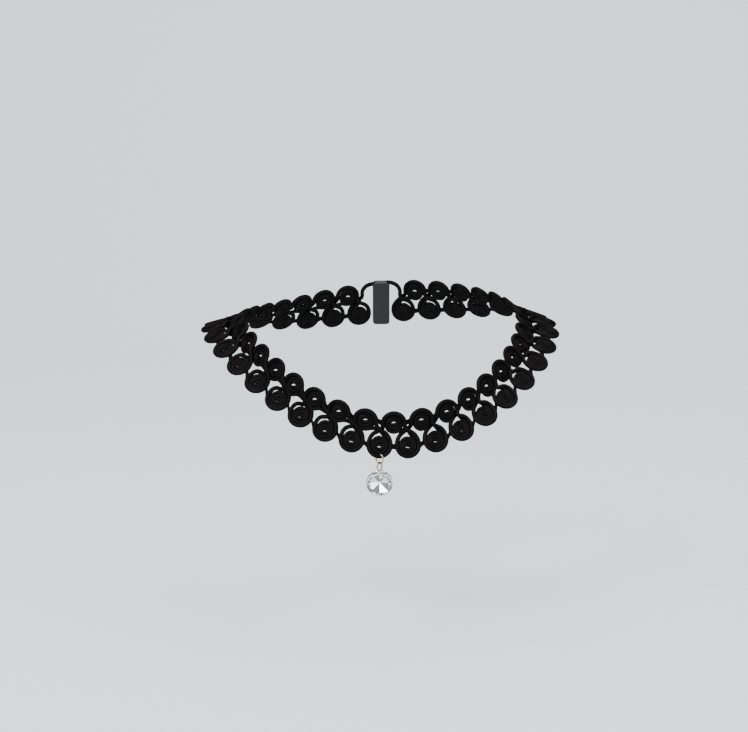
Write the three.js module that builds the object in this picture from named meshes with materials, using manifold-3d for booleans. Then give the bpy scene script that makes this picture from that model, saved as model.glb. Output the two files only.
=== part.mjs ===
// Choker of corded lace trim with a faceted crystal drop, in the shape it has round a neck.
// Millimetres, +Z up, front towards -Y. The origin is the middle of the neck opening.
import * as THREE from "three";
import { ConvexGeometry } from "three/addons/geometries/ConvexGeometry.js";
import { mergeVertices } from "three/addons/utils/BufferGeometryUtils.js";
import Module from "manifold-3d";

const wasm = await Module();
wasm.setup();

// the loop that the middle line of the trim follows
const loopHalfWidth = 71;
const loopHalfDepth = 63;
const loopRise = 20;
// its height as waves round the loop, in shares of loopRise, from the front to the back
const riseWaves = [
  { turns: 1, even: -0.94, odd: -0.03 },
  { turns: 2, even: -0.44, odd: -0.17 },
  { turns: 3, even: -0.13, odd: 0 },
];
// steepness of the trim, in degrees: 90 hangs straight down, 0 lies flat
const frontSlope = 90;
const sideSlope = 12;
const backSlope = 72;
// how much steeper the upper row lies than the middle, and the lower row flatter, up to a turn
// from the front in radians, and the turn at which the bend has gone
const rowBend = 22;
const bendFull = 1.8;
const bendGone = 2.7;

// the lace: two rows of loops in one cord, with a coil in each loop
const rowSpacing = 10.1;
const loopWidth = 11.3;
const loopClearance = 0.8;
// a lower loop's upper half is taller than round by this share, up to where its cord crosses itself
const loopPeak = 1.1;
const crossHeight = 6.4;
const cordWidth = 1.5;
const coilClearance = 0.6;
const coilHole = 2.6;
const coilThickness = 1.9;
const coilProud = 0.45;
const threadWidth = 0.6;
const threadInset = 0.03;
const pendantPhase = -0.4;

// the joint at the back and the gap to what it holds
const claspLength = 8;
const claspThickness = 3.6;
const claspRound = 1.5;
const seatGap = 0.3;

// the drop
const wireWidth = 0.6;
const upperRingWidth = 5;
const lowerRingWidth = 4.7;
const upperRingTurn = 40;
const lowerRingTurn = -18;
const linkGap = 0.15;
const ringRoom = 0.5;
const crystalWidth = 12;
const tableWidth = 7.7;
const crownHeight = 1.6;
const girdleHeight = 0.8;
const pavilionHeight = 2.7;
const crystalHole = 2;
const holeInset = 1.3;

// round shapes as facets
const cordSides = 5;
const threadSides = 4;
const coilSides = 10;
const holeSides = 12;
const ringSides = 6;
const ringSteps = 14;
const crystalFacets = 8;
const lowerArc = { from: 40, to: -220, steps: 8 };
const upperArc = { from: 190, to: -10, steps: 5 };

// The cord's height over the trim's face, in shares of its width: where its two runs cross, one
// over and one under, and at the right end of each upper loop.
const crossLift = 0.64;
const archLift = 0.35;

const { degToRad } = THREE.MathUtils;
const up = new THREE.Vector3(0, 0, 1);

// Middle line of the trim at a turn from the front, with the level direction away from the neck.
function middlePoint(turn) {
  const rise = riseWaves.reduce(
    (sum, wave) => sum + wave.even * Math.cos(wave.turns * turn) + wave.odd * Math.sin(wave.turns * turn),
    0,
  );
  const point = new THREE.Vector3(
    loopHalfWidth * Math.sin(turn),
    -loopHalfDepth * Math.cos(turn),
    loopRise * rise,
  );
  const outward = new THREE.Vector3(loopHalfDepth * Math.sin(turn), -loopHalfWidth * Math.cos(turn), 0);
  return { point, outward: outward.normalize() };
}

// Slope at a turn, in radians: a smooth wave through the slopes at front, side and back.
function slopeAt(turn) {
  const mean = (frontSlope + backSlope) / 4 + sideSlope / 2;
  const once = (frontSlope - backSlope) / 2;
  const twice = (frontSlope + backSlope) / 4 - sideSlope / 2;
  return degToRad(mean + once * Math.cos(turn) + twice * Math.cos(2 * turn));
}

// The trim is hollow across its width on the neck, and straight across it at the back.
function bendAt(turn) {
  return degToRad(rowBend) * (1 - THREE.MathUtils.smoothstep(Math.abs(turn), bendFull, bendGone));
}

// Direction down the trim's face at a turn, for what lies "across" millimetres below the middle line.
function downAt(turn, across) {
  const angle = slopeAt(turn) - (bendAt(turn) * across) / rowSpacing;
  return middlePoint(turn).outward.multiplyScalar(Math.cos(angle)).addScaledVector(up, -Math.sin(angle));
}

function trimPoint(turn, across) {
  return middlePoint(turn).point.addScaledVector(downAt(turn, across), across);
}

// Length of the middle line from the front to each of many turns, to find a turn by length.
const turnSteps = 1440;
const lengths = [0];
for (let i = 1; i <= turnSteps; i++) {
  const from = middlePoint(((i - 1) / turnSteps - 0.5) * 2 * Math.PI).point;
  const to = middlePoint((i / turnSteps - 0.5) * 2 * Math.PI).point;
  lengths.push(lengths[i - 1] + from.distanceTo(to));
}
const loopLength = lengths[turnSteps];
const frontLength = lengths[turnSteps / 2];

function turnAt(along) {
  const whole = along + frontLength;
  const laps = Math.floor(whole / loopLength);
  const place = whole - laps * loopLength;
  const next = Math.max(1, lengths.findIndex((length) => length >= place));
  const share = (place - lengths[next - 1]) / (lengths[next] - lengths[next - 1]);
  return ((next - 1 + share) / turnSteps - 0.5) * 2 * Math.PI;
}

// An odd number of lower loops fills the loop between the two ends of the clasp.
const laceLength = loopLength - claspLength - 2 * seatGap;
const sideLoops = Math.round((laceLength / (loopWidth + loopClearance) - 1) / 2);
const pitch = laceLength / (2 * sideLoops + 1);
const loopRadius = (loopWidth - cordWidth) / 2;
const coilRadius = loopRadius - cordWidth / 2 - coilClearance;

// Frame of the trim at a length along it and a width across it: along, down and out of its face.
// In a row that is shorter than the middle line the loops are squeezed to fit.
function frameAt(place, across) {
  const step = 0.05;
  const centre = trimPoint(turnAt(place), across);
  const along = trimPoint(turnAt(place + step), across).sub(trimPoint(turnAt(place - step), across));
  const down = downAt(turnAt(place), across);
  const stretch = along.length() / (2 * step);
  along.addScaledVector(down, -along.dot(down)).normalize();
  const out = new THREE.Vector3().crossVectors(down, along);
  const squeeze = Math.min(1, (stretch * pitch - loopClearance) / loopWidth);
  return { centre, along, down, out, squeeze };
}

const lowerFrame = (k) => frameAt(pendantPhase + k * pitch, rowSpacing / 2);
const upperFrame = (k) => frameAt(pendantPhase + (k + 0.5) * pitch, -rowSpacing / 2);

// Point at an angle and radius round a loop's middle: 0 is right, 90 up, as seen from outside.
function roundPoint(frame, angle, radius, lift) {
  const a = degToRad(angle);
  return frame.centre
    .clone()
    .addScaledVector(frame.along, radius * frame.squeeze * Math.cos(a))
    .addScaledVector(frame.down, -radius * Math.sin(a))
    .addScaledVector(frame.out, lift);
}

// Points of the outer cord along an arc of a loop, its upper half stretched to the given peak.
function arcPoints(frame, arc, peak, liftEnd) {
  return Array.from({ length: arc.steps + 1 }, (_, i) => {
    const share = i / arc.steps;
    const angle = THREE.MathUtils.lerp(arc.from, arc.to, share);
    const height = Math.max(0, Math.sin(degToRad(angle))) * loopRadius;
    return roundPoint(frame, angle, loopRadius, liftEnd * share).addScaledVector(frame.down, -(peak - 1) * height);
  });
}

// A route through given points, with one step of the extrusion for each.
class PointRoute extends THREE.Curve {
  constructor(points) {
    super();
    this.points = points;
  }

  getPoint(share, target = new THREE.Vector3()) {
    const place = share * (this.points.length - 1);
    const i = Math.min(Math.floor(place), this.points.length - 2);
    return target.lerpVectors(this.points[i], this.points[i + 1], place - i);
  }

  getUtoTmapping(share) {
    return share;
  }
}

function roundSection(width, sides) {
  const corners = Array.from({ length: sides }, (_, i) => {
    const a = (i / sides) * 2 * Math.PI;
    return new THREE.Vector2((width / 2) * Math.cos(a), (width / 2) * Math.sin(a));
  });
  return new THREE.Shape(corners);
}

function tube(points, width, sides) {
  return new THREE.ExtrudeGeometry(roundSection(width, sides), {
    steps: points.length - 1,
    extrudePath: new PointRoute(points),
  });
}

// The outer cord runs left to right: down across itself, clockwise round the lower loop, up across
// itself again and over the next upper loop. It starts and ends at the tops of upper loops.
function cordPoints(first, last) {
  const arch = (k) => arcPoints(upperFrame(k), upperArc, 1, archLift * cordWidth);
  const top = (k) => roundPoint(upperFrame(k), 90, loopRadius, 0);
  const crossing = (k, side) => roundPoint(lowerFrame(k), 90, crossHeight, side * crossLift * cordWidth);
  const half = Math.ceil(upperArc.steps / 2);
  const points = [top(first - 1), ...arch(first - 1).slice(half)];
  for (let k = first; k <= last; k++) {
    points.push(crossing(k, 1), ...arcPoints(lowerFrame(k), lowerArc, loopPeak, 0), crossing(k, -1));
    points.push(...(k < last ? arch(k) : [...arch(k).slice(0, half), top(k)]));
  }
  return points;
}

function shorten(points, gap) {
  const [start, second] = points;
  const [beforeEnd, end] = points.slice(-2);
  const first = start.clone().add(second.clone().sub(start).setLength(gap));
  const last = end.clone().add(beforeEnd.clone().sub(end).setLength(gap));
  return [first, ...points.slice(1, -1), last];
}

function solidOf(geometry) {
  const bare = geometry.index ? geometry.toNonIndexed() : geometry.clone();
  bare.deleteAttribute("normal");
  bare.deleteAttribute("uv");
  const merged = mergeVertices(bare, 1e-4);
  return new wasm.Manifold(
    new wasm.Mesh({
      numProp: 3,
      vertProperties: new Float32Array(merged.attributes.position.array),
      triVerts: new Uint32Array(merged.index.array),
    }),
  );
}

function geometryOf(solid) {
  const mesh = solid.getMesh();
  const geometry = new THREE.BufferGeometry();
  geometry.setAttribute("position", new THREE.BufferAttribute(new Float32Array(mesh.vertProperties), 3));
  geometry.setIndex(new THREE.BufferAttribute(new Uint32Array(mesh.triVerts), 1));
  return geometry;
}

// A coil of the inner cord as a flat ring. The one over the drop sits higher, clear of the jump ring.
const coilFront = coilProud;
const coilBack = coilProud - coilThickness;
function coil(frame, raise) {
  const corners = [
    [coilHole / 2, coilBack],
    [coilRadius, coilBack],
    [coilRadius, coilFront],
    [coilHole / 2, coilFront],
    [coilHole / 2, coilBack],
  ];
  const ring = new THREE.LatheGeometry(
    corners.map(([r, h]) => new THREE.Vector2(r, h)),
    coilSides,
    Math.PI / coilSides,
  );
  const centre = roundPoint(frame, 90, raise, 0);
  const placed = new THREE.Matrix4()
    .makeBasis(frame.along.clone().multiplyScalar(frame.squeeze), frame.out, frame.down)
    .setPosition(centre);
  return ring.applyMatrix4(placed);
}

// The thread passes behind the cord from a coil's back edge to the next coil's, or to the clasp's side.
const threadLift = coilBack + threadWidth / 2 + threadInset;
const threadGrip = coilRadius - threadWidth / 2;
const threadHeight = { upper: 0.7, lower: 0 };
function threadEnd(frame, side, height) {
  const angle = THREE.MathUtils.radToDeg(Math.asin(height / threadGrip));
  return roundPoint(frame, side > 0 ? angle : 180 - angle, threadGrip, threadLift);
}

function claspEnd(side, across, height) {
  const frame = frameAt(pendantPhase + (side * laceLength) / 2, across);
  return roundPoint(frame, 90, height, threadLift);
}

function coilRow(frameOf, first, last, across, ends) {
  const height = across > 0 ? threadHeight.lower : threadHeight.upper;
  let row = null;
  const join = (geometry) => {
    const solid = solidOf(geometry);
    row = row ? row.add(solid) : solid;
  };
  for (let k = first; k <= last; k++) {
    const overDrop = across > 0 && k === 0;
    join(coil(frameOf(k), overDrop ? ringRoom : 0));
    if (k === last) continue;
    const points = [threadEnd(frameOf(k), 1, height), threadEnd(frameOf(k + 1), -1, height)];
    join(tube(points, threadWidth, threadSides));
  }
  if (ends.left) {
    const points = [claspEnd(-1, across, height), threadEnd(frameOf(first), -1, height)];
    join(tube(points, threadWidth, threadSides));
  }
  if (ends.right) {
    const points = [threadEnd(frameOf(last), 1, height), claspEnd(1, across, height)];
    join(tube(points, threadWidth, threadSides));
  }
  return geometryOf(row);
}

// The clasp is one plain plate as high as the trim.
function clasp() {
  const height = rowSpacing + loopWidth;
  const frame = frameAt(pendantPhase + loopLength / 2, 0);
  const [x, y, r] = [claspLength / 2, height / 2, claspRound];
  const outline = new THREE.Shape();
  outline.moveTo(-x + r, -y).lineTo(x - r, -y).absarc(x - r, -y + r, r, -Math.PI / 2, 0);
  outline.lineTo(x, y - r).absarc(x - r, y - r, r, 0, Math.PI / 2);
  outline.lineTo(-x + r, y).absarc(-x + r, y - r, r, Math.PI / 2, Math.PI);
  outline.lineTo(-x, -y + r).absarc(-x + r, -y + r, r, Math.PI, 1.5 * Math.PI);
  const plate = new THREE.ExtrudeGeometry(outline, {
    depth: claspThickness,
    bevelEnabled: false,
    curveSegments: 3,
  });
  plate.translate(0, 0, -claspThickness / 2);
  const upright = new THREE.Matrix4().makeBasis(frame.along, frame.down.clone().negate(), frame.out);
  return plate.applyMatrix4(upright.setPosition(frame.centre));
}

// Lowest point of the loop that carries the drop.
function hangPoint() {
  const frame = lowerFrame(0);
  const lowest = Math.atan2(frame.down.z, -frame.along.z * frame.squeeze);
  return roundPoint(frame, THREE.MathUtils.radToDeg(lowest), loopRadius, 0);
}

// Heights below the middle of the cord that the upper ring hangs on.
const hang = hangPoint();
const upperRadius = (upperRingWidth - wireWidth) / 2;
const lowerRadius = (lowerRingWidth - wireWidth) / 2;
const upperRingDrop = upperRadius - (cordWidth + wireWidth) / 2 - linkGap;
const lowerRingDrop = upperRingDrop + upperRadius - wireWidth - linkGap + lowerRadius;
const holeDrop = lowerRingDrop + lowerRadius + (crystalHole - wireWidth) / 2 - linkGap;

function jumpRing(radius, drop, turn) {
  const ring = new THREE.TorusGeometry(radius, wireWidth / 2, ringSides, ringSteps);
  ring.rotateY(Math.PI / 2).rotateZ(degToRad(turn));
  return ring.translate(hang.x, hang.y, hang.z - drop);
}

// Centroid of a closed mesh, from the tetrahedra between its faces and the origin.
function centroidOf(geometry) {
  const bare = geometry.index ? geometry.toNonIndexed() : geometry;
  const position = bare.attributes.position;
  const sum = new THREE.Vector3();
  let volume = 0;
  const [a, b, c] = [0, 1, 2].map(() => new THREE.Vector3());
  for (let i = 0; i < position.count; i += 3) {
    [a, b, c].forEach((corner, j) => corner.fromBufferAttribute(position, i + j));
    const share = a.dot(new THREE.Vector3().crossVectors(b, c)) / 6;
    sum.addScaledVector(a.clone().add(b).add(c), share / 4);
    volume += share;
  }
  return sum.divideScalar(volume);
}

// The crystal stands in the XZ plane with its table to the front, drilled from front to back.
function crystal() {
  const ringOf = (radius, y, count, phase) =>
    Array.from({ length: count }, (_, i) => {
      const a = ((i + phase) / count) * 2 * Math.PI;
      return new THREE.Vector3(radius * Math.sin(a), y, radius * Math.cos(a));
    });
  const girdleRadius = crystalWidth / 2;
  const points = [
    ...ringOf(tableWidth / 2, -girdleHeight / 2 - crownHeight, crystalFacets, 0.5),
    ...ringOf(girdleRadius, -girdleHeight / 2, 2 * crystalFacets, 0.5),
    ...ringOf(girdleRadius, girdleHeight / 2, 2 * crystalFacets, 0.5),
    new THREE.Vector3(0, girdleHeight / 2 + pavilionHeight, 0),
  ];
  const whole = new ConvexGeometry(points);
  const drill = new THREE.CylinderGeometry(crystalHole / 2, crystalHole / 2, crystalWidth, holeSides);
  drill.translate(0, 0, girdleRadius - holeInset);
  const drilled = geometryOf(solidOf(whole).subtract(solidOf(drill)));
  const centroid = centroidOf(drilled);
  return drilled.translate(
    hang.x - centroid.x,
    hang.y - centroid.y,
    hang.z - holeDrop - (girdleRadius - holeInset),
  );
}

const cordMaterial = new THREE.MeshStandardMaterial({ color: 0x141213, roughness: 0.85, metalness: 0 });
const coilMaterial = new THREE.MeshStandardMaterial({ color: 0x191617, roughness: 0.8, metalness: 0 });
const claspMaterial = new THREE.MeshStandardMaterial({ color: 0x1b1b1c, roughness: 0.5, metalness: 0 });
const ringMaterial = new THREE.MeshStandardMaterial({ color: 0x9a7a4a, roughness: 0.35, metalness: 1 });
const crystalMaterial = new THREE.MeshStandardMaterial({ color: 0xe9eef0, roughness: 0.03, metalness: 0 });

const choker = new THREE.Group();
function addPiece(name, geometry, material) {
  const mesh = new THREE.Mesh(geometry, material);
  mesh.name = name;
  choker.add(mesh);
}

const halves = [
  { side: "left", first: -sideLoops, last: 0, ends: { left: true, right: false } },
  { side: "right", first: 1, last: sideLoops, ends: { left: false, right: true } },
];
for (const { side, first, last, ends } of halves) {
  const cord = tube(shorten(cordPoints(first, last), seatGap), cordWidth, cordSides);
  addPiece(`outer_cord_${side}`, cord, cordMaterial);
  // the upper loop between the halves counts with the right one
  const [firstUpper, lastUpper] = ends.left ? [first, last - 1] : [first - 1, last - 1];
  const upperCoils = coilRow(upperFrame, firstUpper, lastUpper, -rowSpacing / 2, ends);
  addPiece(`upper_coils_${side}`, upperCoils, coilMaterial);
  addPiece(`lower_coils_${side}`, coilRow(lowerFrame, first, last, rowSpacing / 2, ends), coilMaterial);
}
addPiece("back_clasp", clasp(), claspMaterial);
addPiece("jump_ring_upper", jumpRing(upperRadius, upperRingDrop, upperRingTurn), ringMaterial);
addPiece("jump_ring_lower", jumpRing(lowerRadius, lowerRingDrop, lowerRingTurn), ringMaterial);
addPiece("crystal_drop", crystal(), crystalMaterial);

export default choker;
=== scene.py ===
import math

import bmesh
import bpy
import numpy as np
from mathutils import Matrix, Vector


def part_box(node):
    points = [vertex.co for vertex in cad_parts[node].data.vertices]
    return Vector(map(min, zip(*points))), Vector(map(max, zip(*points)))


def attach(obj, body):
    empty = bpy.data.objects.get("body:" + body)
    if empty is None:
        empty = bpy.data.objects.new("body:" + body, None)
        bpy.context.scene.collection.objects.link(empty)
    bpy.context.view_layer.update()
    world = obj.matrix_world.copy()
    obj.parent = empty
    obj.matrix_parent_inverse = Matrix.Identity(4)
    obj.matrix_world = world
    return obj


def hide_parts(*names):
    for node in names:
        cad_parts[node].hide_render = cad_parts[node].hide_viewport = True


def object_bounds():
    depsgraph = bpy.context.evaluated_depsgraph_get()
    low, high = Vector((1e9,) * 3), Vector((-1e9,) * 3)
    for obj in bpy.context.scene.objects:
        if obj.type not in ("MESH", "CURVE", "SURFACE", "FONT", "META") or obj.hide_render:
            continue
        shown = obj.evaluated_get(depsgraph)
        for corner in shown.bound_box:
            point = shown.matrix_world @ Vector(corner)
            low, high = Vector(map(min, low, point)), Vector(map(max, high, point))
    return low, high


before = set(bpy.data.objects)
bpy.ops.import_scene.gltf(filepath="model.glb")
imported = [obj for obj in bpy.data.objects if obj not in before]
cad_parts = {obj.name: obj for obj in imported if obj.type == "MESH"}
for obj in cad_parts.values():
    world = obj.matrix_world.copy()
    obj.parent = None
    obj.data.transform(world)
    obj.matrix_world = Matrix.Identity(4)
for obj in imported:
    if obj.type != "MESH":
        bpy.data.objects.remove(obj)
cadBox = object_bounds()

# Corded lace choker with a crystal drop. Metres, +Z up, front towards -Y.

print("stage: camera")
cameraFit = {
    "distance": 1.3,
    "elevation": 8.0,  # degrees above level
    "lens": 136.9, "sensor": 36.0,  # millimetres
    "aim": (-0.0028, 0.0, -0.0092),  # the point at the middle of the picture
    "farthest": 50.0,
}


def makeCamera(fit):
    # looks along +Y, tilted down by the elevation, from the distance in front of the aim
    tilt = math.radians(fit["elevation"])
    data = bpy.data.cameras.new("viewCamera")
    data.lens = fit["lens"]
    data.sensor_width = fit["sensor"]
    data.clip_end = fit["farthest"]
    camera = bpy.data.objects.new("viewCamera", data)
    x, y, z = fit["aim"]
    camera.location = (x, y - fit["distance"] * math.cos(tilt), z + fit["distance"] * math.sin(tilt))
    camera.rotation_euler = (math.pi / 2 - tilt, 0.0, 0.0)
    bpy.context.collection.objects.link(camera)
    bpy.context.scene.camera = camera


makeCamera(cameraFit)

trim = {  # the line and the loops that the cord, the coils and the threads follow
    "halfWidth": 0.071, "halfDepth": 0.063, "rise": 0.020,
    "waves": ((1, -0.94, -0.03), (2, -0.44, -0.17), (3, -0.13, 0.0)),  # turns, even share, odd share
    "frontSlope": 90.0, "sideSlope": 12.0, "backSlope": 72.0, "rowBend": 22.0,  # degrees
    "bendFull": 1.8, "bendGone": 2.7,  # turns from the front, in radians
    "lean": 14.0, "leanFrom": 0.5, "leanFull": 1.1,  # each loop about its own middle, at the sides
    "rowSpacing": 0.0101, "loopWidth": 0.0113, "loopClearance": 0.0008,
    "cordWidth": 0.0015, "phase": -0.0004, "claspLength": 0.008, "seatGap": 0.0003,
    "loopsEachSide": 17,
}


upWay = np.array([0.0, 0.0, 1.0])


def unit(ways):
    # each way over its own length
    return ways / np.linalg.norm(ways, axis=-1, keepdims=True)


def lengthsAlong(points):
    # length of the line from its first point to each point
    return np.concatenate([[0.0], np.cumsum(np.linalg.norm(np.diff(points, axis=0), axis=1))])


def smoothRamp(x, low, high):
    # cubic step: 3s^2 - 2s^3 between low and high
    s = np.clip((x - low) / (high - low), 0.0, 1.0)
    return s * s * (3.0 - 2.0 * s)


def middleLine(turn):
    # (a sin(turn), -b cos(turn)) in plan, with a height of three waves round the loop, and the way outward
    height = sum(even * np.cos(n * turn) + odd * np.sin(n * turn) for n, even, odd in trim["waves"])
    a, b = trim["halfWidth"], trim["halfDepth"]
    points = np.stack([a * np.sin(turn), -b * np.cos(turn), trim["rise"] * height], -1)
    outward = np.stack([b * np.sin(turn), -a * np.cos(turn), np.zeros_like(turn)], -1)
    return points, unit(outward)


def downWay(turn, across, lean=0.0):
    # outward cos(angle) - up sin(angle), for a slope in waves from front over side to back, plus a lean;
    # it is steeper above the middle line and flatter below it
    front, side, back = trim["frontSlope"], trim["sideSlope"], trim["backSlope"]
    slope = ((front + back) / 4 + side / 2 + (front - back) / 2 * np.cos(turn)
             + ((front + back) / 4 - side / 2) * np.cos(2 * turn))
    bend = trim["rowBend"] * (1.0 - smoothRamp(np.abs(turn), trim["bendFull"], trim["bendGone"]))
    angle = np.radians(slope - bend * across / trim["rowSpacing"] + lean)[..., None]
    return middleLine(turn)[1] * np.cos(angle) - upWay * np.sin(angle)


def trimFace(turn, across):
    # middle line plus "across" times the way down
    return middleLine(turn)[0] + np.asarray(across)[..., None] * downWay(turn, across)


turnSteps = 1440  # round the middle line, for its table of lengths
allTurns = np.linspace(-math.pi, math.pi, turnSteps + 1)
lineLengths = lengthsAlong(middleLine(allTurns)[0])
loopLength = lineLengths[-1]
frontLength = lineLengths[turnSteps // 2]
laceLength = loopLength - trim["claspLength"] - 2 * trim["seatGap"]
pitch = laceLength / (2 * trim["loopsEachSide"] + 1)
loopRadius = (trim["loopWidth"] - trim["cordWidth"]) / 2


def turnAt(place):
    # turn at a length along the middle line from the front, read off the table of lengths
    return np.interp((place + frontLength) % loopLength, lineLengths, allTurns)


def rowFrames(place, across):
    # centre and unit directions along, down and out of the face, along from small differences;
    # squeeze is the share of its width that a loop keeps where the pitch is short
    step = 0.00005
    place = np.asarray(place, float)
    across = np.broadcast_to(np.asarray(across, float), place.shape)
    turn = turnAt(place)
    centre = trimFace(turn, across)
    along = trimFace(turnAt(place + step), across) - trimFace(turnAt(place - step), across)
    side = smoothRamp(np.abs(turn), trim["leanFrom"], trim["leanFull"])
    side *= 1.0 - smoothRamp(np.abs(turn), trim["bendFull"], trim["bendGone"])
    down = downWay(turn, across, trim["lean"] * side)
    stretch = np.linalg.norm(along, axis=-1) / (2 * step)
    along = unit(along - down * (along * down).sum(-1, keepdims=True))
    squeeze = np.minimum(1.0, (stretch * pitch - trim["loopClearance"]) / trim["loopWidth"])
    return {"centre": centre, "along": along, "down": down, "out": np.cross(down, along),
            "squeeze": squeeze}


def lowerFrames(k):
    # frames at k pitches from the front, half a row below the middle line
    return rowFrames(trim["phase"] + np.asarray(k, float) * pitch, trim["rowSpacing"] / 2)


def upperFrames(k):
    # frames at k + 1/2 pitches, half a row above it
    return rowFrames(trim["phase"] + (np.asarray(k, float) + 0.5) * pitch, -trim["rowSpacing"] / 2)


def onRound(frames, angle, radius, lift, peak=1.0):
    # centre + r cos(a) along - r sin(a) down + lift out, with the upper half stretched by the peak
    a = np.radians(np.broadcast_to(angle, (len(frames["squeeze"]), np.shape(angle)[-1])))
    radius = np.broadcast_to(radius, a.shape)
    lift = np.broadcast_to(lift, a.shape)
    along = (radius * frames["squeeze"][:, None] * np.cos(a))[..., None] * frames["along"][:, None]
    rise = radius * np.sin(a)
    rise = rise + (peak - 1.0) * np.maximum(rise, 0.0)
    down = -rise[..., None] * frames["down"][:, None]
    return frames["centre"][:, None] + along + down + lift[..., None] * frames["out"][:, None]


def onTrim(frames, x, y, lift):
    # the same with straight distances: x to the right and y up in each frame
    x, y, lift = (np.broadcast_to(v, (len(frames["squeeze"]), np.shape(x)[-1])) for v in (x, y, lift))
    return (frames["centre"][:, None] + x[..., None] * frames["along"][:, None]
            - y[..., None] * frames["down"][:, None] + lift[..., None] * frames["out"][:, None])


def hermite(start, end, startWay, endWay, shares):
    # cubic through two ends with the given ways at them
    s = np.asarray(shares)[None, :, None]
    return ((2 * s**3 - 3 * s**2 + 1) * start[:, None] + (s**3 - 2 * s**2 + s) * startWay[:, None]
            + (-2 * s**3 + 3 * s**2) * end[:, None] + (s**3 - s**2) * endWay[:, None])


def tubeArrays(paths, outs, radius, sides):
    # points p + r (cos(phi) front + sin(phi) side), with side = way x out and front = side x way;
    # one more point closes each end
    count, steps, _ = paths.shape
    way = unit(np.gradient(paths, axis=1))
    side = unit(np.cross(way, outs))
    front = np.cross(side, way)
    phi = np.arange(sides) / sides * 2 * math.pi
    radius = np.broadcast_to(radius, (count, steps))[..., None, None]
    rings = paths[:, :, None] + radius * (np.cos(phi)[:, None] * front[:, :, None]
                                          + np.sin(phi)[:, None] * side[:, :, None])
    verts = np.concatenate([rings.reshape(-1, 3), paths[:, [0, -1]].reshape(-1, 3)])
    index = np.arange(count * steps * sides).reshape(count, steps, sides)
    turned = np.roll(index, -1, 2)
    tip = index.size + np.arange(2 * count).reshape(count, 2, 1) + np.zeros(sides, int)
    quads = np.stack([index[:, :-1], turned[:, :-1], turned[:, 1:], index[:, 1:]], -1).reshape(-1, 4)
    tris = np.concatenate([np.stack([turned[:, 0], index[:, 0], tip[:, 0]], -1),
                           np.stack([index[:, -1], turned[:, -1], tip[:, 1]], -1)]).reshape(-1, 3)
    run = np.cumsum(np.linalg.norm(np.diff(paths, axis=1, prepend=paths[:, :1]), axis=-1), 1)
    j = np.arange(sides)
    u = np.stack([j, j + 1, j + 1, j], -1) / sides
    v = np.stack([run[:, :-1], run[:, :-1], run[:, 1:], run[:, 1:]], -1)[:, :, None]
    # u goes once round the cord, and v counts the millimetres along it
    uv = np.stack(np.broadcast_arrays(u, v * 1000.0), -1).reshape(-1, 2)
    return verts, quads, tris, uv


def meshObject(name, parts, material):
    # parts of one piece joined into one smooth mesh, with the uv of each corner
    verts, faceCorners, faceSizes, uvs, base = [], [], [], [], 0
    for partVerts, quads, tris, uv in parts:
        verts.append(partVerts)
        faceCorners += [(quads + base).ravel(), (tris + base).ravel()]
        faceSizes += [np.full(len(quads), 4), np.full(len(tris), 3)]
        uvs += [uv, np.zeros((3 * len(tris), 2))]
        base += len(partVerts)
    verts, corners, sizes = np.concatenate(verts), np.concatenate(faceCorners), np.concatenate(faceSizes)
    mesh = bpy.data.meshes.new(name)
    mesh.vertices.add(len(verts))
    mesh.vertices.foreach_set("co", verts.astype(np.float32).ravel())
    mesh.loops.add(len(corners))
    mesh.loops.foreach_set("vertex_index", corners.astype(np.int32))
    mesh.polygons.add(len(sizes))
    mesh.polygons.foreach_set("loop_start", np.concatenate([[0], np.cumsum(sizes)[:-1]]).astype(np.int32))
    mesh.update(calc_edges=True)
    mesh.uv_layers.new(name="cordUv").data.foreach_set("uv", np.concatenate(uvs).astype(np.float32).ravel())
    mesh.polygons.foreach_set("use_smooth", np.ones(len(sizes), bool))
    mesh.validate()
    mesh.materials.append(material)
    piece = bpy.data.objects.new(name, mesh)
    bpy.context.collection.objects.link(piece)
    return piece


print("stage: materials")


def newGroup(name, inputs, outputs):
    # shader group with number sockets, and its two end nodes
    group = bpy.data.node_groups.new(name, "ShaderNodeTree")
    for socketName, value in inputs:
        socket = group.interface.new_socket(socketName, in_out="INPUT", socket_type="NodeSocketFloat")
        socket.default_value = value
    for socketName in outputs:
        group.interface.new_socket(socketName, in_out="OUTPUT", socket_type="NodeSocketFloat")
    return group, group.nodes.new("NodeGroupInput"), group.nodes.new("NodeGroupOutput")


def mathNode(group, operation, first, second):
    # one sum, each side a number or a socket
    node = group.nodes.new("ShaderNodeMath")
    node.operation = operation
    for socket, value in zip(node.inputs, (first, second)):
        if isinstance(value, (int, float)):
            socket.default_value = value
        else:
            group.links.new(value, socket)
    return node.outputs["Value"]


def objectNoise(tree, scale, detail):
    # noise on the piece's own coordinates; the scale is a number or a socket
    place = tree.nodes.new("ShaderNodeTexCoord")
    noise = tree.nodes.new("ShaderNodeTexNoise")
    noise.inputs["Detail"].default_value = detail
    tree.links.new(place.outputs["Object"], noise.inputs["Vector"])
    if isinstance(scale, (int, float)):
        noise.inputs["Scale"].default_value = scale
    else:
        tree.links.new(scale, noise.inputs["Scale"])
    return noise.outputs["Fac"]


braidLook = {
    "noiseScale": 2600.0, "noiseDetail": 3.0,
    "weave": 0.5,  # height of the crossing yarns, before the fuzz
    # painted shade: the colour darkens with the height of the weave, so the hollows between the yarns are
    # darker
    "fuzzAndHollowShadeGain": 0.5, "fuzzAndHollowShadeFrom": 0.35,
    "roughGain": 0.2, "roughFrom": 0.32,
    "relief": 0.6,
}


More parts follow.
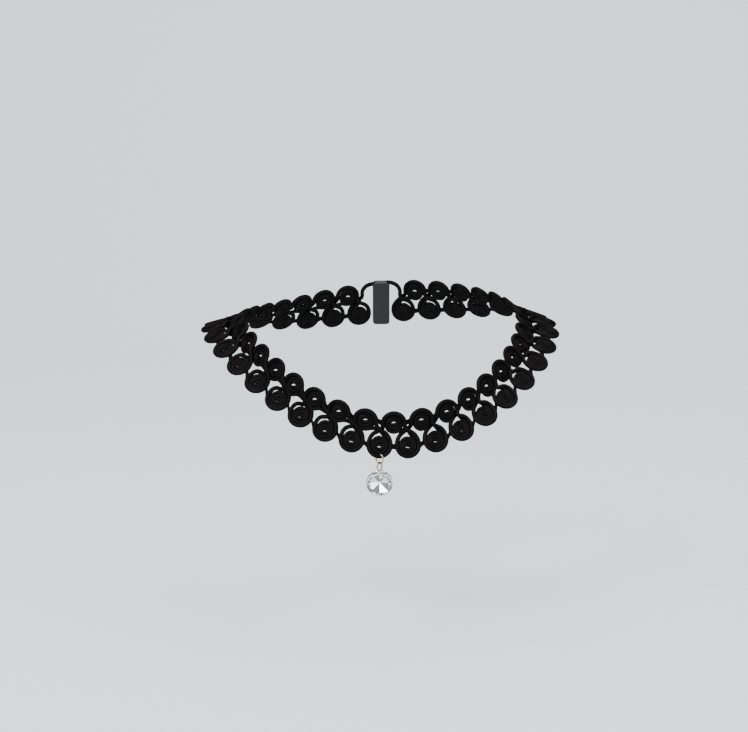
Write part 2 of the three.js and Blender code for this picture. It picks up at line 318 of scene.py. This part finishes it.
def makeBraidGroup():
    # height = weave sin(2 pi (length + around)) sin(2 pi (length - around)) + fuzz times noise,
    # for two families of slanting yarns; shade = gain height + from, rough = gain noise + from;
    # the shade is painted shade, darker in the hollows between the yarns, plus the fuzz's own tone
    look = braidLook
    group, start, end = newGroup("braidedYarn", [("Yarns", 4.0), ("Lay", 0.9), ("Fuzz", 0.35)],
                                 ["Height", "FuzzAndHollowShade", "Rough"])
    uv = group.nodes.new("ShaderNodeUVMap")
    uv.uv_map = "cordUv"
    split = group.nodes.new("ShaderNodeSeparateXYZ")
    group.links.new(uv.outputs["UV"], split.inputs[0])
    around = mathNode(group, "MULTIPLY", split.outputs["X"], start.outputs["Yarns"])
    length = mathNode(group, "DIVIDE", split.outputs["Y"], start.outputs["Lay"])
    waves = []
    for sign in ("ADD", "SUBTRACT"):
        slant = mathNode(group, "MULTIPLY", mathNode(group, sign, length, around), 2 * math.pi)
        waves.append(mathNode(group, "SINE", slant, 0.0))
    weave = mathNode(group, "MULTIPLY", mathNode(group, "MULTIPLY", waves[0], waves[1]), look["weave"])
    noise = objectNoise(group, look["noiseScale"], look["noiseDetail"])
    height = mathNode(group, "ADD", weave, mathNode(group, "MULTIPLY", noise, start.outputs["Fuzz"]))
    fuzzAndHollowShade = mathNode(group, "ADD", mathNode(group, "MULTIPLY", height, look["fuzzAndHollowShadeGain"]), look["fuzzAndHollowShadeFrom"])
    fuzzAndHollowShade = mathNode(group, "MINIMUM", mathNode(group, "MAXIMUM", fuzzAndHollowShade, 0.0), 1.0)
    rough = mathNode(group, "ADD", mathNode(group, "MULTIPLY", noise, look["roughGain"]), look["roughFrom"])
    for socketName, value in (("Height", height), ("FuzzAndHollowShade", fuzzAndHollowShade), ("Rough", rough)):
        group.links.new(value, end.inputs[socketName])
    return group


patchLook = {"noiseDetail": 4.0, "relief": 0.2}


def makePatchGroup():
    # soft patches of wear: mask = noise, rough = smooth + (worn - smooth) mask
    group, start, end = newGroup("softPatches", [("Scale", 900.0), ("Smooth", 0.2), ("Worn", 0.4)],
                                 ["Mask", "Rough"])
    mask = objectNoise(group, start.outputs["Scale"], patchLook["noiseDetail"])
    span = mathNode(group, "SUBTRACT", start.outputs["Worn"], start.outputs["Smooth"])
    rough = mathNode(group, "ADD", start.outputs["Smooth"], mathNode(group, "MULTIPLY", span, mask))
    group.links.new(mask, end.inputs["Mask"])
    group.links.new(rough, end.inputs["Rough"])
    return group


braidGroup, patchGroup = makeBraidGroup(), makePatchGroup()


def newMaterial(name, settings):
    # Principled material with its plain settings
    material = bpy.data.materials.new(name)
    material.use_nodes = True
    shader = material.node_tree.nodes["Principled BSDF"]
    for socketName, value in settings.items():
        shader.inputs[socketName].default_value = value
    return material, material.node_tree, shader


def addGroup(tree, group, values):
    # a use of one of the groups, with its named inputs set
    node = tree.nodes.new("ShaderNodeGroup")
    node.node_tree = group
    for socketName, value in values.items():
        node.inputs[socketName].default_value = value
    return node.outputs


mixSockets = {"share": 0, "low": 6, "high": 7, "mixed": 2}  # places of the colour sockets on a mix node


def addColours(tree, shader, share, low, high):
    # base colour = low + (high - low) share
    mix = tree.nodes.new("ShaderNodeMix")
    mix.data_type = "RGBA"
    mix.inputs[mixSockets["low"]].default_value = (*low, 1.0)
    mix.inputs[mixSockets["high"]].default_value = (*high, 1.0)
    tree.links.new(share, mix.inputs[mixSockets["share"]])
    tree.links.new(mix.outputs[mixSockets["mixed"]], shader.inputs["Base Color"])


def addBump(tree, shader, height, strength, depth):
    # normal tilted by the height, "depth" metres high where it is 1
    bump = tree.nodes.new("ShaderNodeBump")
    bump.inputs["Strength"].default_value = strength
    bump.inputs["Distance"].default_value = depth
    tree.links.new(height, bump.inputs["Height"])
    tree.links.new(bump.outputs["Normal"], shader.inputs["Normal"])


pileLook = {"blend": 0.5, "edge": 0.7}  # edge: facing from which on there is no gloss


def addPileGloss(tree, shader, gloss):
    # specular = gloss (1 - facing / edge): the pile swallows light that only grazes the cord
    grazing = tree.nodes.new("ShaderNodeLayerWeight")
    grazing.inputs["Blend"].default_value = pileLook["blend"]
    fade = tree.nodes.new("ShaderNodeMapRange")
    for socketName, value in (("From Max", pileLook["edge"]), ("To Min", gloss), ("To Max", 0.0)):
        fade.inputs[socketName].default_value = value
    tree.links.new(grazing.outputs["Facing"], fade.inputs["Value"])
    tree.links.new(fade.outputs["Result"], shader.inputs["Specular IOR Level"])


def yarnMaterial(name, look):
    # braid colours with painted shade in the hollows of the weave, roughness and relief, with the gloss of a
    # pile
    material, tree, shader = newMaterial(name, {})
    addPileGloss(tree, shader, look["gloss"])
    braid = addGroup(tree, braidGroup, {"Yarns": look["yarns"], "Lay": look["lay"], "Fuzz": look["fuzz"]})
    # base colour from dark in the hollows of the weave to light on its crests: painted shade, with the
    # fuzz's own tone
    addColours(tree, shader, braid["FuzzAndHollowShade"], look["dark"], look["light"])
    tree.links.new(braid["Rough"], shader.inputs["Roughness"])
    addBump(tree, shader, braid["Height"], braidLook["relief"], look["depth"])
    return material


def patchMaterial(name, look, settings):
    # colours and roughness in soft patches
    material, tree, shader = newMaterial(name, settings)
    patches = addGroup(tree, patchGroup,
                       {"Scale": look["scale"], "Smooth": look["smooth"], "Worn": look["worn"]})
    addColours(tree, shader, patches["Mask"], look["low"], look["high"])
    tree.links.new(patches["Rough"], shader.inputs["Roughness"])
    if look["depth"]:
        addBump(tree, shader, patches["Mask"], patchLook["relief"], look["depth"])
    return material


# dark is the colour in the hollows of each weave and light the colour on its crests; between them lies
# painted shade
outerMaterial = yarnMaterial("velvetyCord", {
    "dark": (0.0009, 0.0007, 0.0007), "light": (0.0058, 0.0045, 0.0046),
    "yarns": 4.0, "lay": 0.85, "fuzz": 0.5, "gloss": 0.055, "depth": 0.00009})
coilMaterial = yarnMaterial("woundCord", {
    "dark": (0.0009, 0.0007, 0.0008), "light": (0.0062, 0.0049, 0.005),
    "yarns": 3.0, "lay": 0.7, "fuzz": 0.45, "gloss": 0.055, "depth": 0.00008})
threadMaterial = yarnMaterial("sewingThread", {
    "dark": (0.002, 0.0017, 0.0018), "light": (0.009, 0.0078, 0.0078),
    "yarns": 1.0, "lay": 0.35, "fuzz": 0.2, "gloss": 0.05, "depth": 0.00003})

print("stage: outer cord")
cordLook = {
    "sides": 12,
    "radius": 0.00099,
    "lowerFrom": 50.0, "lowerTo": -230.0, "lowerSteps": 36, "lowerPeak": 1.26,
    "upperFrom": 196.0, "upperTo": -16.0, "upperSteps": 26,
    "runSteps": 12, "pull": 0.8,  # how strongly a run keeps the way of the loop that it leaves
    "endRun": 0.0020,  # how far both ends run on into the clasp
    "crossLift": 0.66, "archLift": 0.35,  # in shares of the cord's width
    "crossMiddle": 0.5, "crossSpread": 0.36,  # in shares of a run
    "outSpan": 12,  # points on each side over which the way out of the face is averaged
    "evenStep": 0.0005, "softening": 4,
}


def bumpAt(shares, middle, width):
    # bell of height 1 at the middle share
    return np.exp(-((shares - middle) / width) ** 2)


def cordPath(look):
    # clockwise round each lower loop, up across itself, over the next upper loop, down across itself
    ks = np.arange(-trim["loopsEachSide"], trim["loopsEachSide"] + 1)
    lower, upper = lowerFrames(ks), upperFrames(np.arange(ks[0] - 1, ks[-1] + 1))
    width = trim["cordWidth"]
    roundAngles = np.linspace(look["lowerFrom"], look["lowerTo"], look["lowerSteps"])
    archAngles = np.linspace(look["upperFrom"], look["upperTo"], look["upperSteps"])
    archLift = smoothRamp(np.linspace(0, 1, look["upperSteps"]), 0.0, 1.0) * look["archLift"] * width
    rounds = onRound(lower, roundAngles, loopRadius, 0.0, look["lowerPeak"])
    arches = onRound(upper, archAngles, loopRadius, archLift)
    before, after = arches[:-1], arches[1:]
    span = np.linalg.norm(before[:, -1] - rounds[:, 0], axis=-1, keepdims=True) * look["pull"]
    shares = np.linspace(0, 1, look["runSteps"] + 2)[1:-1]
    down = hermite(before[:, -1], rounds[:, 0], unit(before[:, -1] - before[:, -2]) * span,
                   unit(rounds[:, 1] - rounds[:, 0]) * span, shares)
    rise = hermite(rounds[:, -1], after[:, 0], unit(rounds[:, -1] - rounds[:, -2]) * span,
                   unit(after[:, 1] - after[:, 0]) * span, shares)
    apart = bumpAt(shares, look["crossMiddle"], look["crossSpread"]) * look["crossLift"] * width
    apart = apart[None, :, None] * lower["out"][:, None]
    cells = np.concatenate([down + apart, rounds, rise - apart, after], 1)
    path = cells.reshape(-1, 3)
    half = look["upperSteps"] // 2
    path = np.concatenate([arches[0, half:], path[:-half]])
    outs = np.repeat(lower["out"], cells.shape[1], 0)
    outs = np.concatenate([np.repeat(upper["out"][:1], look["upperSteps"] - half, 0), outs[:-half]])
    wayIn, wayOut = unit(path[0] - path[1]), unit(path[-1] - path[-2])
    path = np.concatenate([path[:1] + wayIn * look["endRun"], path, path[-1:] + wayOut * look["endRun"]])
    outs = np.concatenate([outs[:1], outs, outs[-1:]])
    reach = look["outSpan"]
    smoothOuts = sum(np.roll(outs, s, 0) for s in range(-reach, reach + 1))
    smoothOuts[:reach], smoothOuts[-reach:] = outs[:reach], outs[-reach:]
    return path, unit(smoothOuts)


def evenPath(path, outs, step, softening):
    # the same route in even steps, with its corners averaged out: (before + 2 own + after) / 4
    lengths = lengthsAlong(path)
    places = np.linspace(0, lengths[-1], int(lengths[-1] / step))
    points = np.stack([np.interp(places, lengths, path[:, i]) for i in range(3)], -1)
    ways = np.stack([np.interp(places, lengths, outs[:, i]) for i in range(3)], -1)
    for _ in range(softening):
        points[1:-1] = 0.25 * points[:-2] + 0.5 * points[1:-1] + 0.25 * points[2:]
    return points, unit(ways)


outerPath, outerOuts = evenPath(*cordPath(cordLook), cordLook["evenStep"], cordLook["softening"])
outerCord = meshObject(
    "lace_outer_cord",
    [tubeArrays(outerPath[None], outerOuts[None], cordLook["radius"], cordLook["sides"])],
    outerMaterial,
)
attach(outerCord, "lace")
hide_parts("outer_cord_left", "outer_cord_right")

print("stage: coils")
coilLook = {
    "radius": 0.00088, "sides": 10, "lift": -0.00035,
    "startAngle": 20.0,  # where the inner end joins the inner turn
    "innerWidth": 0.0021, "outerPath": 0.00325, "steps": 80, "moveLift": 0.0003,
    "endAcross": -0.0019, "endLift": -0.0002, "endSteps": 14,  # the inner end, tucked into the hole
    "crossHeight": 0.0069, "tailLift": -0.0010, "tailSteps": 18, "tailPull": 1.5,
    "startTaper": (0.5, 0.85, 0.97), "tailTaper": (0.97, 0.6), "tailTaperSteps": 5,  # shares of the radius
    "ringRoom": 0.0002,  # how much the middle coil is raised off the jump ring
}
coilRows = {  # the cord moves from the inner turn to the outer one between two shares of the winding
    "lower": {"turned": 738.0, "height": 1.04, "innerHeight": 0.00178, "sink": -0.00012, "endUp": 0.00040,
              "moveFrom": 0.46, "moveTo": 0.62},
    "upper": {"turned": 1008.0, "height": 1.12, "innerHeight": 0.00196, "sink": -0.00040, "endUp": -0.00040,
              "moveFrom": 0.36, "moveTo": 0.62},
}


def coilParts(frames, crossings, row, sinks):
    # (wide cos(a), high sin(a)) from the inner turn to the outer one,
    # with a start tucked into the hole and a tail that ends behind the crossing
    look = coilLook
    t = np.linspace(0, 1, look["steps"])
    angles = np.radians(look["startAngle"] + t * (row["turned"] - look["startAngle"]))
    moved = smoothRamp(t, row["moveFrom"], row["moveTo"])
    wide = look["innerWidth"] + (look["outerPath"] - look["innerWidth"]) * moved
    high = row["innerHeight"] + (look["outerPath"] * row["height"] - row["innerHeight"]) * moved
    middle, width = (row["moveFrom"] + row["moveTo"]) / 2, (row["moveTo"] - row["moveFrom"]) / 2
    lift = look["lift"] + look["moveLift"] * bumpAt(t, middle, width)
    winding = onTrim(frames, wide * np.cos(angles) * frames["squeeze"][:, None],
                     high * np.sin(angles) + sinks[:, None], lift)
    inner = onTrim(frames, np.array([look["endAcross"]]), row["endUp"] + sinks[:, None],
                   look["lift"] + look["endLift"])[:, 0]
    join = unit(winding[:, 1] - winding[:, 0])
    reach = np.linalg.norm(winding[:, 0] - inner, axis=-1, keepdims=True)
    tucked = hermite(inner, winding[:, 0], frames["along"] * reach, join * reach,
                     np.linspace(0, 1, look["endSteps"] + 1)[:-1])
    leave = unit(winding[:, -1] - winding[:, -2])
    end = crossings + look["tailLift"] * frames["out"]
    reach = np.linalg.norm(end - winding[:, -1], axis=-1, keepdims=True)
    tail = hermite(winding[:, -1], end, leave * reach * look["tailPull"], end - winding[:, -1],
                   np.linspace(0, 1, look["tailSteps"] + 1)[1:])
    paths = np.concatenate([tucked, winding, tail], 1)
    outs = np.repeat(frames["out"][:, None], paths.shape[1], 1)
    radius = np.full(paths.shape[:2], look["radius"])
    radius[:, :len(look["startTaper"])] *= look["startTaper"]
    radius[:, -look["tailTaperSteps"]:] *= np.linspace(*look["tailTaper"], look["tailTaperSteps"])
    return tubeArrays(paths, outs, radius, look["sides"])


def makeCoils(name, frames, crossings, row, sinks, *nodes):
    # all the coils of one row in one piece
    piece = meshObject(name, [coilParts(frames, crossings, row, sinks)], coilMaterial)
    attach(piece, "lace")
    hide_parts(*nodes)


lowerKs = np.arange(-trim["loopsEachSide"], trim["loopsEachSide"] + 1)
upperKs = lowerKs[:-1]
crossings = onTrim(lowerFrames(lowerKs), np.zeros(1), np.full(1, coilLook["crossHeight"]), 0.0)[:, 0]
lowerRow, upperRow = coilRows["lower"], coilRows["upper"]
raised = np.where(lowerKs == 0, coilLook["ringRoom"], 0.0)
makeCoils("lace_lower_coils", lowerFrames(lowerKs), crossings, lowerRow,
          lowerRow["sink"] + raised, "lower_coils_left", "lower_coils_right")
makeCoils("lace_upper_coils", upperFrames(upperKs), crossings[1:], upperRow,
          np.full(len(upperKs), upperRow["sink"]), "upper_coils_left", "upper_coils_right")

print("stage: tie threads")
tieLook = {"radius": 0.00022, "strands": 7, "spacing": 0.00034, "steps": 7, "sides": 6, "sag": 0.00008,
           "lowerHeight": -0.0005, "upperHeight": 0.0002}


def tieParts(frameOf, ks, height):
    # short strands side by side, from the middle of one cord to the middle of the next: a + (b - a) s,
    # bowed by sag sin(pi s), by turns to the front and to the back
    look = tieLook
    left, right = frameOf(ks), frameOf(ks + 1)
    a = onRound(left, np.zeros(1), loopRadius, 0.0)[:, 0]
    b = onRound(right, np.full(1, 180.0), loopRadius, 0.0)[:, 0]
    out, down = unit(left["out"] + right["out"]), unit(left["down"] + right["down"])
    rows = (np.arange(look["strands"]) - (look["strands"] - 1) / 2) * look["spacing"]
    s = np.linspace(0, 1, look["steps"])
    bow = look["sag"] * np.sin(s * math.pi)
    level = a[:, None, None] + (b - a)[:, None, None] * s[:, None]
    sides = np.where(np.arange(look["strands"]) % 2, 1, -1)
    paths = (level - down[:, None, None] * (height + rows)[:, None, None]
             + out[:, None, None] * (bow[None, :, None] * sides[:, None, None]))
    paths = paths.reshape(-1, look["steps"], 3)
    outs = np.repeat(np.repeat(out, look["strands"], 0)[:, None], look["steps"], 1)
    return tubeArrays(paths, outs, look["radius"], look["sides"])


tieThreads = meshObject(
    "lace_tie_threads",
    [tieParts(lowerFrames, lowerKs[:-1], tieLook["lowerHeight"]),
     tieParts(upperFrames, upperKs[:-1], tieLook["upperHeight"])],
    threadMaterial,
)
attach(tieThreads, "lace")

print("stage: drop")
ringMaterial = patchMaterial(
    "agedGoldWire",
    {"low": (0.1, 0.066, 0.034), "high": (0.62, 0.5, 0.33), "scale": 900.0, "smooth": 0.12, "worn": 0.3,
     "depth": 0.00003},
    {"Metallic": 1.0})
ringLook = {"wire": 0.0007, "steps": 72, "sides": 14, "cut": 4.0}  # cut: degrees left open
ringPieces = (  # degrees: the ring's turn about the vertical, and where its cut is
    {"name": "upper_wire_ring", "node": "jump_ring_upper", "turn": 46.0, "cutAngle": 205.0},
    {"name": "lower_wire_ring", "node": "jump_ring_lower", "turn": -30.0, "cutAngle": 20.0},
)


def jumpRing(name, node, turn, cutAngle):
    # one wire bent round with its two ends face to face: middle + r (cos(a) level + sin(a) up)
    low, high = (np.array(corner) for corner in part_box(node))
    middle = (low + high) / 2
    radius = (high[2] - low[2]) / 2 - ringLook["wire"] / 2
    t = math.radians(turn)
    level = np.array([-math.sin(t), math.cos(t), 0.0])
    cut = ringLook["cut"]
    angles = np.radians(cutAngle + cut / 2 + np.linspace(0, 360 - cut, ringLook["steps"]))
    path = middle + radius * (np.cos(angles)[:, None] * level + np.sin(angles)[:, None] * upWay)
    outs = np.repeat(np.cross(level, upWay)[None], len(path), 0)
    piece = meshObject(name, [tubeArrays(path[None], outs[None], ringLook["wire"] / 2, ringLook["sides"])],
                       ringMaterial)
    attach(piece, "drop")
    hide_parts(node)


for ringPiece in ringPieces:
    jumpRing(**ringPiece)


def crystalMaterial(name, silvering):
    # clear polished glass, with a very faint waviness of the polish, silvered a little on its back
    return patchMaterial(
        name,
        {"low": (0.86, 0.91, 0.9), "high": (0.99, 1.0, 1.0), "scale": 180.0, "smooth": 0.0, "worn": 0.02,
         "depth": 0.0},
        {"Transmission Weight": 1.0, "IOR": 1.46, "Metallic": silvering})


gem = {"facets": 8, "radius": 0.00592, "table": 0.00417, "star": 0.0051, "lowerHalf": 0.0048,
       "crown": 0.0020, "girdle": 0.0011, "pavilion": 0.0020, "girdleIn": 0.00006,
       "holeRadius": 0.001, "holeInset": 0.0013, "holeSides": 32, "drillAhead": 0.002, "drillLength": 0.01,
       "silvering": 0.9, "facesBack": 0.5}


def cutBody(middle, front):
    # rings of corners at turn i or i + 1/2, on depths that keep each kite flat: the depth h(r) runs straight
    # from the table's edge to the girdle, and a corner half a step round sits at h(r cos(step / 2)),
    # behind it the same from the girdle to the tip
    n, rg = gem["facets"], gem["radius"]
    half = math.pi / n
    turns = (np.arange(n) + 0.5) * 2 * half
    table, star, lowerHalf = gem["table"], gem["star"], gem["lowerHalf"]
    crownSlope = gem["crown"] / (rg - table)
    starDepth = (star * math.cos(half) - table) * crownSlope
    pavilionSlope = gem["pavilion"] / rg
    frontGirdle, backGirdle = gem["crown"], gem["crown"] + gem["girdle"]
    lowerDepth = backGirdle + (rg - lowerHalf * math.cos(half)) * pavilionSlope
    culet = backGirdle + gem["pavilion"]
    rings = ((table, turns, 0.0), (star, turns + half, starDepth), (rg, turns, frontGirdle),
             (rg - gem["girdleIn"], turns + half, frontGirdle), (rg, turns, backGirdle),
             (rg - gem["girdleIn"], turns + half, backGirdle), (lowerHalf, turns + half, lowerDepth))
    verts = [np.stack([middle[0] + r * np.cos(a), np.full(n, front + d), middle[2] + r * np.sin(a)], -1)
             for r, a, d in rings]
    verts.append(np.array([[middle[0], front + culet, middle[2]]]))
    i = np.arange(n)
    j, h = (i + 1) % n, (i - 1) % n
    edge, starRing, upperRim, upperMid, lowerRim, lowerMid, lowerRing = (np.arange(len(rings)) * n).tolist()
    tip = np.full(n, len(rings) * n)
    faces = [tuple(range(n))]
    for corners in (
            (starRing + i, edge + j, edge + i),
            (edge + i, starRing + i, upperRim + i, starRing + h),
            (starRing + i, upperMid + i, upperRim + i),
            (starRing + i, upperRim + j, upperMid + i),
            (upperRim + i, upperMid + i, lowerMid + i, lowerRim + i),
            (upperMid + i, upperRim + j, lowerRim + j, lowerMid + i),
            (lowerRim + i, lowerMid + i, lowerRing + i),
            (lowerMid + i, lowerRim + j, lowerRing + i),
            (lowerRim + i, lowerRing + i, tip, lowerRing + h)):
        faces += [tuple(row) for row in np.stack(corners, -1).tolist()]
    mesh = bpy.data.meshes.new("cut_crystal")
    mesh.from_pydata(np.concatenate(verts).tolist(), [], faces)
    bm = bmesh.new()
    bm.from_mesh(mesh)
    bmesh.ops.recalc_face_normals(bm, faces=bm.faces)
    bm.to_mesh(mesh)
    bm.free()
    piece = bpy.data.objects.new("cut_crystal", mesh)
    bpy.context.collection.objects.link(piece)
    return piece


def drillHole(piece, middle, front):
    # a round bar from ahead of the front to behind the back is taken out of the piece below its top
    sides = gem["holeSides"]
    r = np.arange(sides)
    q = (r + 1) % sides
    k = r / sides * 2 * math.pi
    ring = np.stack([middle[0] + gem["holeRadius"] * np.cos(k), np.full(sides, front - gem["drillAhead"]),
                     middle[2] + gem["radius"] - gem["holeInset"] + gem["holeRadius"] * np.sin(k)], -1)
    tube = np.concatenate([ring, ring + [0, gem["drillLength"], 0]])
    walls = np.stack([r, q, q + sides, r + sides], -1).tolist()
    drill = bpy.data.meshes.new("drill")
    drill.from_pydata(tube.tolist(), [], walls + [r[::-1].tolist(), (r + sides).tolist()])
    cutter = bpy.data.objects.new("drill", drill)
    bpy.context.collection.objects.link(cutter)
    cut = piece.modifiers.new("drilledHole", "BOOLEAN")
    cut.operation = "DIFFERENCE"
    cut.solver = "EXACT"
    cut.object = cutter
    drilled = bpy.data.meshes.new_from_object(piece.evaluated_get(bpy.context.evaluated_depsgraph_get()))
    piece.modifiers.clear()
    piece.data = drilled
    bpy.data.objects.remove(cutter)


def silverBack(piece, backFrom):
    # the faces that look to the back and lie behind the girdle are silvered, and all others are clear
    mesh = piece.data
    mesh.materials.clear()
    mesh.materials.append(crystalMaterial("clearCrystal", 0.0))
    mesh.materials.append(crystalMaterial("silveredCrystal", gem["silvering"]))
    normals, centres = (np.empty(3 * len(mesh.polygons), np.float32) for _ in range(2))
    mesh.polygons.foreach_get("normal", normals)
    mesh.polygons.foreach_get("center", centres)
    back = (normals[1::3] > gem["facesBack"]) & (centres[1::3] > backFrom)
    mesh.polygons.foreach_set("material_index", back.astype(np.int32))


low, high = (np.array(corner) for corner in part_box("crystal_drop"))
gemMiddle, gemFront = (low + high) / 2, low[1]
crystal = cutBody(gemMiddle, gemFront)
drillHole(crystal, gemMiddle, gemFront)
silverBack(crystal, gemFront + (gem["crown"] + gem["girdle"]))
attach(crystal, "drop")
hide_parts("crystal_drop")

print("stage: clasp")
satinMaterial = patchMaterial(
    "satinBlack",
    {"low": (0.008, 0.008, 0.009), "high": (0.022, 0.021, 0.022),
     "scale": 1500.0, "smooth": 0.5, "worn": 0.7, "depth": 0.00003},
    {"Specular IOR Level": 0.2})
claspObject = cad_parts["back_clasp"]
claspObject.data.materials.clear()
claspObject.data.materials.append(satinMaterial)

print("stage: floor and light")
studio = {
    "floorDrop": 0.06,  # below the lowest point
    "halfWidth": 2.6, "front": -2.4, "back": 0.75, "curve": 0.7, "curveSteps": 16, "wallTop": 2.6,
    "colour": (0.7, 0.755, 0.765, 1.0), "roughness": 0.85, "specular": 0.2,
    "worldColour": (0.9, 0.95, 0.96, 1.0), "worldStrength": 0.16,
}


def makeCove(look):
    # flat floor, a quarter circle and an upright wall, drawn as one profile across the width
    z = cadBox[0][2] - look["floorDrop"]
    a = np.linspace(0, math.pi / 2, look["curveSteps"] + 1)
    back, curve = look["back"], look["curve"]
    y = np.concatenate([[look["front"]], back + curve * np.sin(a), [back + curve]])
    up = np.concatenate([[0.0], curve * (1 - np.cos(a)), [look["wallTop"]]]) + z
    left = np.stack([np.full_like(y, -look["halfWidth"]), y, up], -1)
    right = left * [-1, 1, 1]
    n = len(y)
    i = np.arange(n - 1)
    mesh = bpy.data.meshes.new("studioCove")
    strips = np.stack([i, i + n, i + n + 1, i + 1], -1)
    mesh.from_pydata(np.concatenate([left, right]).tolist(), [], strips.tolist())
    mesh.polygons.foreach_set("use_smooth", np.ones(n - 1, bool))
    material, _, _ = newMaterial("paleCove", {"Base Color": look["colour"], "Roughness": look["roughness"],
                                              "Specular IOR Level": look["specular"]})
    mesh.materials.append(material)
    cove = bpy.data.objects.new("studioCove", mesh)
    bpy.context.collection.objects.link(cove)


def makeWorld(look):
    # the same pale light from all round
    world = bpy.data.worlds.new("paleStudio")
    world.use_nodes = True
    background = world.node_tree.nodes["Background"]
    background.inputs["Color"].default_value = look["worldColour"]
    background.inputs["Strength"].default_value = look["worldStrength"]
    bpy.context.scene.world = world


lamps = (
    {"name": "keyLight", "place": (-0.9, -1.2, 1.1), "size": 1.0, "power": 52.0},
    {"name": "fillLight", "place": (1.4, -0.9, 0.8), "size": 1.3, "power": 26.0},
    {"name": "backLight", "place": (0.2, 0.4, 1.6), "size": 1.4, "power": 36.0},
)


def makeLamp(lamp):
    # square lamp turned to face the origin: tilted up from straight down, then turned about the vertical
    data = bpy.data.lights.new(lamp["name"], "AREA")
    data.size = lamp["size"]
    data.energy = lamp["power"]
    light = bpy.data.objects.new(lamp["name"], data)
    light.location = lamp["place"]
    way = -np.array(lamp["place"])
    level = math.hypot(way[0], way[1])
    light.rotation_euler = (math.atan2(level, -way[2]), 0.0, math.atan2(-way[0], way[1]))
    bpy.context.collection.objects.link(light)


makeCove(studio)
makeWorld(studio)
for lamp in lamps:
    makeLamp(lamp)
